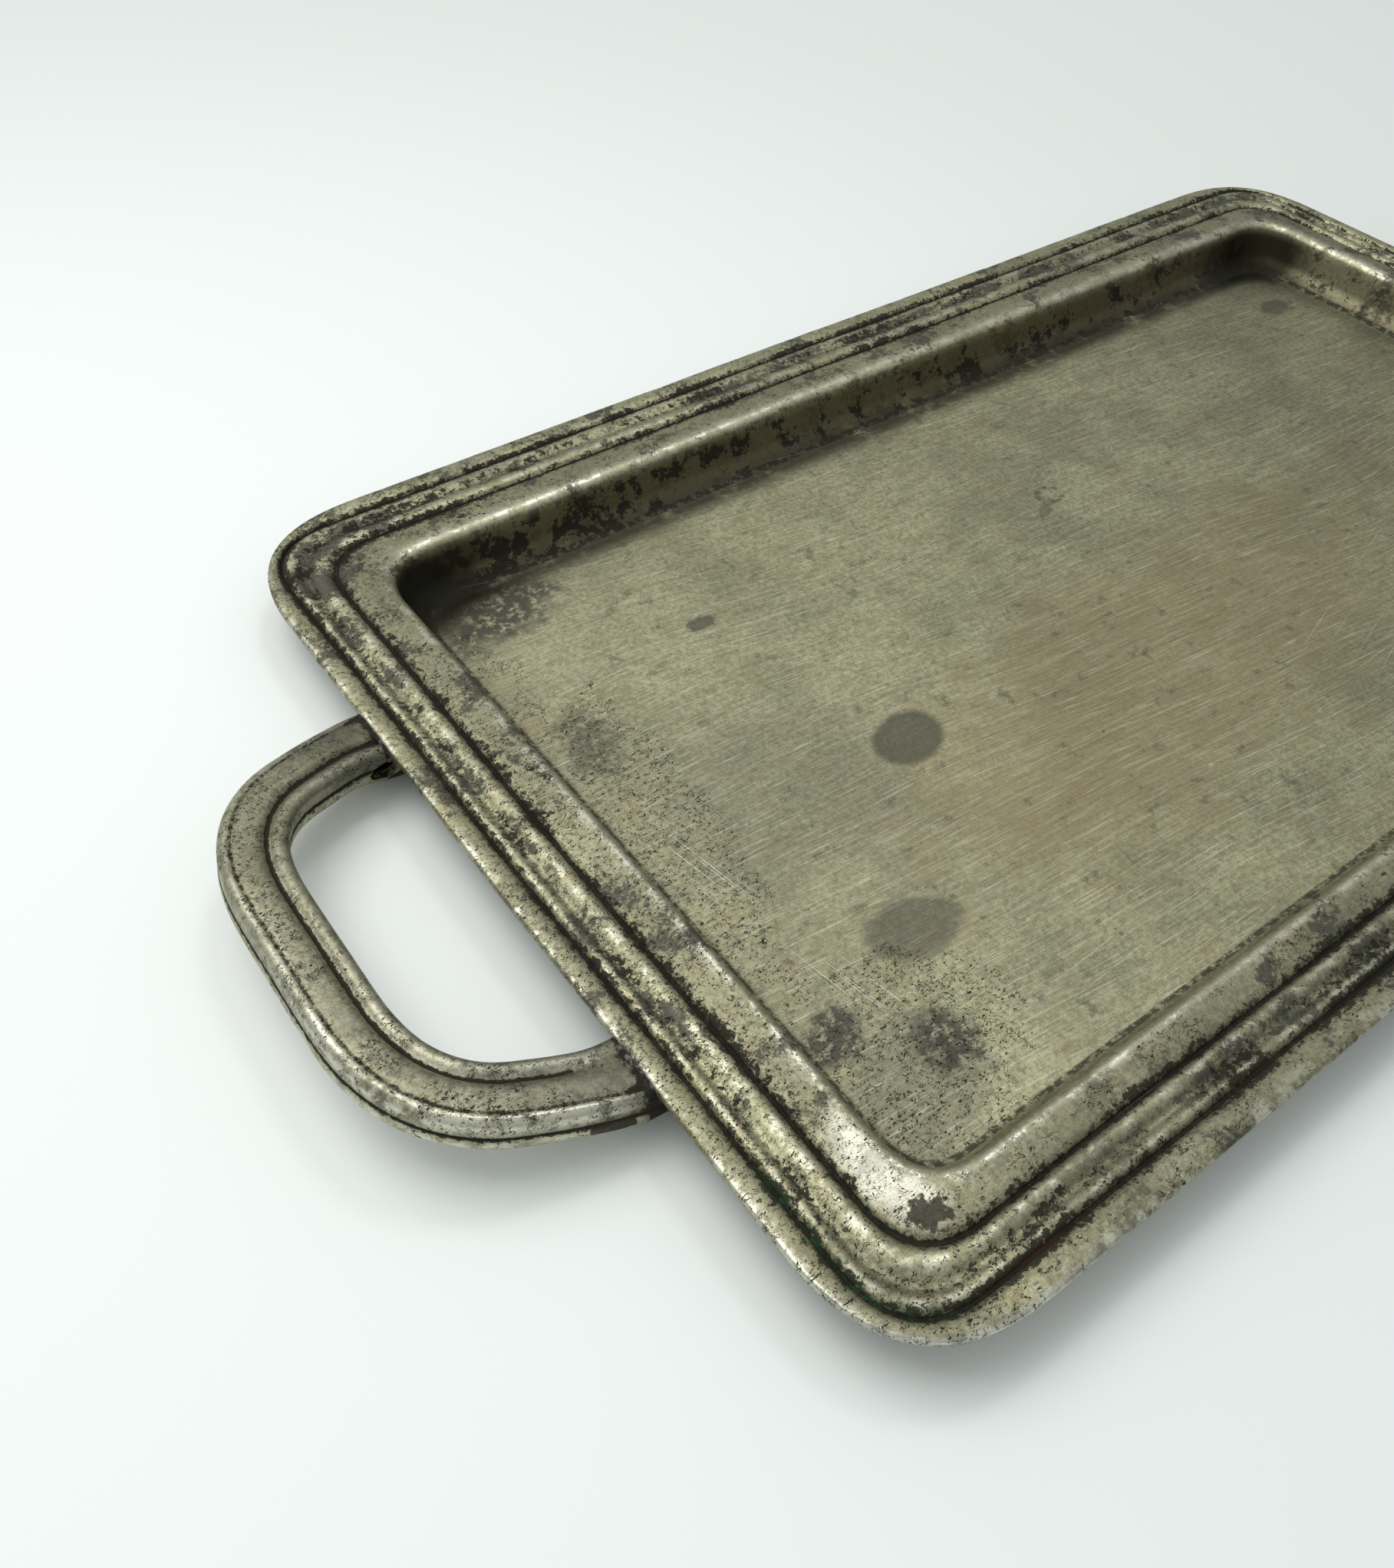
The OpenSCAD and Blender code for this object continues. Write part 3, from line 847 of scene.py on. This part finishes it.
    # Dirt in the creases, verdigris and rust where damp has stood
    lie = p.most(p.times(band(4.2, 0.5, 1.3), 0.21), p.times(band(7.0, 0.6, 1.5), 0.13),
                 p.times(band(11.4, 0.5, 1.5), 0.17))
    heap_field = p.add(p.noise(1.25, 9.0, detail=5, rough=0.78), p.sway(0.55, 10, 9.5, detail=3))
    heap = p.times(p.step(p.add(heap_field, lie), 0.64, 0.70), on_rim, p.step(inset, 0.8, 2.4))
    crease = crease_mask(p, 3.3)
    rim_mark = p.spot(-121.4, -73.3, 5.6, 3.6, -30, ragged=1.3, lump=1.5, soft=0.3)
    # The flecks also hold the foot line, a painted crevice shade along the wall's foot
    flecks = p.most(fleck, heap, p.times(foot_crevice_shade, 0.9), p.times(rim_mark, 0.9))
    color = p.coat(color, DIRT, flecks, 0.93)
    color = p.coat(color, DIRT, crease, 0.96)
    in_crease = band(4.3, 0.5, 0.9)
    green = p.times(p.spot(-131, -70, 14, 26, 8, ragged=0.4, lump=5, soft=0.5), in_crease,
                    p.lumpy(1.2, 13, 0.44, 0.60))
    rusty = p.times(p.spot(-113, -84, 7, 5, 0, ragged=0.4, lump=3, soft=0.5), band(4.2, 0.2, 0.5))
    color = p.coat(color, VERDIGRIS, green, 0.85)
    color = p.coat(color, RUST, rusty, 0.35)

    # Scratches on the floor, nearly along the tray, a few nearly across it by the left wall, and
    # two small dings
    lines = p.most(p.times(p.scratches(34, 0.16, 0.018, -8, 1.0, source=bowed), 0.35),
                   p.times(p.scratches(22, 0.16, 0.090, 3, 2.0, source=bowed),
                           p.times(p.step(y, -25, -48), p.step(x, -104, -86)), 0.7),
                   p.times(p.scratches(30, 0.18, 0.085, 19, 3.0, source=bowed),
                           p.spot(30, -32, 60, 26, 15), 0.7),
                   p.times(p.scratches(34, 0.20, 0.26, 100, 4.0), p.spot(-105, -25, 9, 42, 10), 0.9),
                   p.spot(-28.6, -41.7, 0.9, 0.6, 0, soft=0.1),
                   p.spot(-59, -76.9, 1.6, 1.1, 0, soft=0.1))
    scratch_share = p.add(p.times(on_floor, 0.85), 0.15)
    scratch = p.times(lines, scratch_share, p.lumpy(14, 15.0, 0.35, 0.60, detail=3))
    color = p.mix(scratch, color, SCRATCH)

    # Painted highlights on the rim by the near left corner: a silvery colour on the inner band and the
    # edge, with lower roughness; then how rough, metallic and uneven it is
    dull = p.most(p.times(tarnish, 0.6), flecks, crease, black)
    rim_painted_highlight = p.most(
        p.times(p.spot(-121.3, -66, 9, 17, 0, ragged=0.4, soft=0.9), band(14.3, 1.6, 1.4)),
        p.times(p.spot(-128, -80, 44, 34, -20, ragged=0.4, soft=0.8), p.step(inset, 0.9, 0.5)))
    color = p.coat(color, PAINTED_HIGHLIGHT, rim_painted_highlight, p.less(dull), 0.22)
    rough = p.add(p.step(p.most(polish_and_highlight, rim_painted_highlight), 0.0, 1.0, 0.52, 0.30),
                  p.times(p.add(hair, -0.5), 0.12))
    rough = p.math("ADD", rough, p.times(dull, 0.18), clamp=True)
    dirty = p.most(crease, flecks, green, rusty, black)
    metallic = p.less(p.times(dirty, 0.9))
    height = p.add(p.times(grain, 0.9), p.times(hair, 0.35))
    return p.finish(color, rough, metallic, height, METAL_BUMP, METAL_GLOSS)


def handle_metal(name, seed, shade, root_veil):
    """Metal of the shells: the shared tarnish times a shade, with a grey veil by the roots."""
    p = Paint(name)
    crowd = p.step(p.noise(6.5, seed + 8, detail=4, rough=0.65), 0.42, 0.54)
    color, grain, fleck = tarnished(p, seed, crowd)
    color = p.mix(1.0, color, shade, blend="MULTIPLY")
    by_root = p.step(p.math("ABSOLUTE", p.part(p.place, "X")), 160, 142)
    color = p.coat(color, GREY_TARNISH, by_root, root_veil)
    mottle_field = p.add(p.noise(2.4, seed + 9, detail=6, rough=0.78),
                         p.sway(0.5, 9, seed + 10, detail=3))
    mottle = p.step(mottle_field, 0.52, 0.66)
    # The polish is part wear and part painted highlight: it is laid on more strongly towards low y
    near_side_highlight = p.step(p.part(p.place, "Y"), 5, -25, 0.45, 1.0)
    polish_and_highlight = p.times(p.layer("polish_and_highlight"),
                     p.step(p.noise(3.0, seed + 7, detail=5, rough=0.7), 0.36, 0.56), near_side_highlight)
    crease = crease_mask(p, seed + 1.7)
    color = p.coat(color, BRIGHT, polish_and_highlight, 0.75)
    color = p.coat(color, GREY_TARNISH, mottle, 0.60)
    color = p.coat(color, DIRT, fleck, 0.93)
    color = p.coat(color, DIRT, crease, 0.95)

    # Dark bare metal and a trace of rust at the near left root
    bare = p.times(p.spot(-143.4, -40.5, 5.8, 9, 10, ragged=0.25, lump=2.0, soft=0.06),
                   p.close_to(p.up, 6.4, 1.2, 1.5))
    rusty = p.times(p.spot(-142, -41, 13, 6, 0, ragged=0.5, lump=2, soft=0.5),
                    p.close_to(p.up, 7.6, 0.3, 0.9))
    color = p.coat(color, BARE_FOOT, bare, 0.95)
    color = p.coat(color, RUST, rusty, 0.35)
    rough = p.add(p.step(polish_and_highlight, 0.0, 1.0, 0.52, 0.27), p.times(p.most(crease, fleck, bare), 0.2))
    dirty = p.most(crease, fleck, bare)
    metallic = p.less(p.times(dirty, 0.9))
    height = p.add(p.times(grain, 0.9), p.times(dirty, -0.9))
    return p.finish(color, rough, metallic, height, METAL_BUMP, METAL_GLOSS)


def solder_metal():
    p = Paint("solder")
    lump = p.noise(1.1, 21, detail=4, rough=0.65)
    grain = p.noise(0.3, 22, detail=2)
    color = p.mix(p.step(lump, 0.46, 0.70), SOLDER_DARK, SOLDER_GREY)
    rough = p.step(lump, 0.3, 0.7, 0.68, 0.45)
    return p.finish(color, rough, 0.7, p.add(lump, p.times(grain, 0.3)), bump_depth=0.10)


def paper():
    """White paper with a painted falloff of light: it grows a little darker away from a place beyond the
    left handle.
    """
    p = Paint("paper")
    away = p.vector("LENGTH", p.local((-240, 70, 0), (430, 400, ENDLESS)))
    fibre = p.noise(0.8, 32, detail=3)
    color = p.mix(p.step(away, 0.15, 1.0), PAPER, PAPER_PAINTED_DIM)
    return p.finish(color, 0.75, 0.0, fibre, bump_depth=0.02)


# ---------------------------------------------------------------- camera, floor and light

CAMERA_AT = (-0.1875, -0.1147, 0.1637)
CAMERA_AIM = (-0.0923, 0.0022, 0.0104)
CAMERA_ROLL = 3.02
SENSOR_WIDTH = 36
LENS = 32.07
CAMERA_SHIFT = (-0.0243, -0.0361)
NEAREST_SEEN = 0.01

STAGE_HALF = 6.0

# Lights as the direction and distance from the tray in metres, size, watts and colour
KEY_LIGHT = ((-0.28, 0.36, 0.89), 1.1, 0.75, 5.6, (1.0, 0.995, 0.98))
OVERHEAD_LIGHT = ((0.261, 0.227, 0.938), 0.853, 0.16, 0.8, (1.0, 1.0, 0.99))

# The room's brightness rises with z - ROOM_LEAN * x, from the ramp's first colour to its last
ROOM_LEAN = 0.35
ROOM_SPAN = (-0.4, 1.0)
ROOM_DIM = (0.22, 0.23, 0.225, 1)
ROOM_MIDDLE = (0.62, 0.65, 0.64, 1)
ROOM_BRIGHT = (0.95, 1.0, 0.985, 1)
ROOM_STRENGTH = 0.76


def add_to_scene(name, data):
    obj = bpy.data.objects.new(name, data)
    bpy.context.scene.collection.objects.link(obj)
    return obj


def add_camera():
    """Close view over the left handle, at the photographed angle."""
    data = bpy.data.cameras.new("camera")
    camera = add_to_scene("camera", data)
    camera.location = CAMERA_AT
    camera.rotation_mode = "QUATERNION"
    facing = (Vector(CAMERA_AIM) - camera.location).to_track_quat("-Z", "Y")
    camera.rotation_quaternion = facing @ Quaternion((0, 0, 1), math.radians(CAMERA_ROLL))
    data.sensor_width = SENSOR_WIDTH
    data.lens = LENS
    data.shift_x, data.shift_y = CAMERA_SHIFT
    data.clip_start = NEAREST_SEEN
    bpy.context.scene.camera = camera


def add_floor():
    mesh = bpy.data.meshes.new("floor")
    half = STAGE_HALF
    corners = [(-half, -half, 0), (half, -half, 0), (half, half, 0), (-half, half, 0)]
    mesh.from_pydata(corners, [], [(0, 1, 2, 3)])
    floor = add_to_scene("floor", mesh)
    mesh.materials.append(paper())


def add_area(name, toward, distance, size, power, color):
    """Square soft light in that direction from the tray, facing it."""
    data = bpy.data.lights.new(name, "AREA")
    data.size = size
    data.energy = power
    data.color = color
    lamp = add_to_scene(name, data)
    lamp.location = Vector(toward).normalized() * distance
    lamp.rotation_mode = "QUATERNION"
    lamp.rotation_quaternion = (-lamp.location).to_track_quat("-Z", "Y")


def add_world():
    """Pale room: brightest overhead and to the left, dimmer towards the right and below."""
    world = bpy.data.worlds.new("room")
    world.use_nodes = True
    tree = world.node_tree
    tree.nodes.clear()
    where = tree.nodes.new("ShaderNodeTexCoord").outputs["Generated"]
    split = tree.nodes.new("ShaderNodeSeparateXYZ")
    tree.links.new(where, split.inputs[0])
    height = tree.nodes.new("ShaderNodeMath")
    height.operation = "MULTIPLY_ADD"
    tree.links.new(split.outputs["X"], height.inputs[0])
    height.inputs[1].default_value = -ROOM_LEAN
    tree.links.new(split.outputs["Z"], height.inputs[2])
    spread = tree.nodes.new("ShaderNodeMapRange")
    tree.links.new(height.outputs[0], spread.inputs["Value"])
    spread.inputs["From Min"].default_value, spread.inputs["From Max"].default_value = ROOM_SPAN
    ramp = tree.nodes.new("ShaderNodeValToRGB")
    tree.links.new(spread.outputs[0], ramp.inputs[0])
    ramp.color_ramp.elements[0].color = ROOM_DIM
    ramp.color_ramp.elements[1].color = ROOM_BRIGHT
    ramp.color_ramp.elements.new(0.5).color = ROOM_MIDDLE
    light = tree.nodes.new("ShaderNodeBackground")
    light.inputs["Strength"].default_value = ROOM_STRENGTH
    tree.links.new(ramp.outputs[0], light.inputs["Color"])
    output = tree.nodes.new("ShaderNodeOutputWorld")
    tree.links.new(light.outputs[0], output.inputs["Surface"])
    bpy.context.scene.world = world


add_camera()
add_floor()
add_world()
add_area("key", *KEY_LIGHT)
add_area("overhead", *OVERHEAD_LIGHT)
bpy.context.scene.view_settings.view_transform = "Standard"

pan = make_pan()
pan.data.materials.append(pan_metal())
upper_metal = handle_metal("handle_upper_metal", 40.0, (0.76, 0.76, 0.82), 0.52)
under_metal = handle_metal("handle_under_metal", 50.0, (0.95, 0.96, 1.0), 0.0)
solder_finish = solder_metal()
for end in END_TURN:
    make_shell("upper", end).data.materials.append(upper_metal)
    make_shell("under", end).data.materials.append(under_metal)
    for leg in LEG_SIDE:
        make_solder(end, leg).data.materials.append(solder_finish)
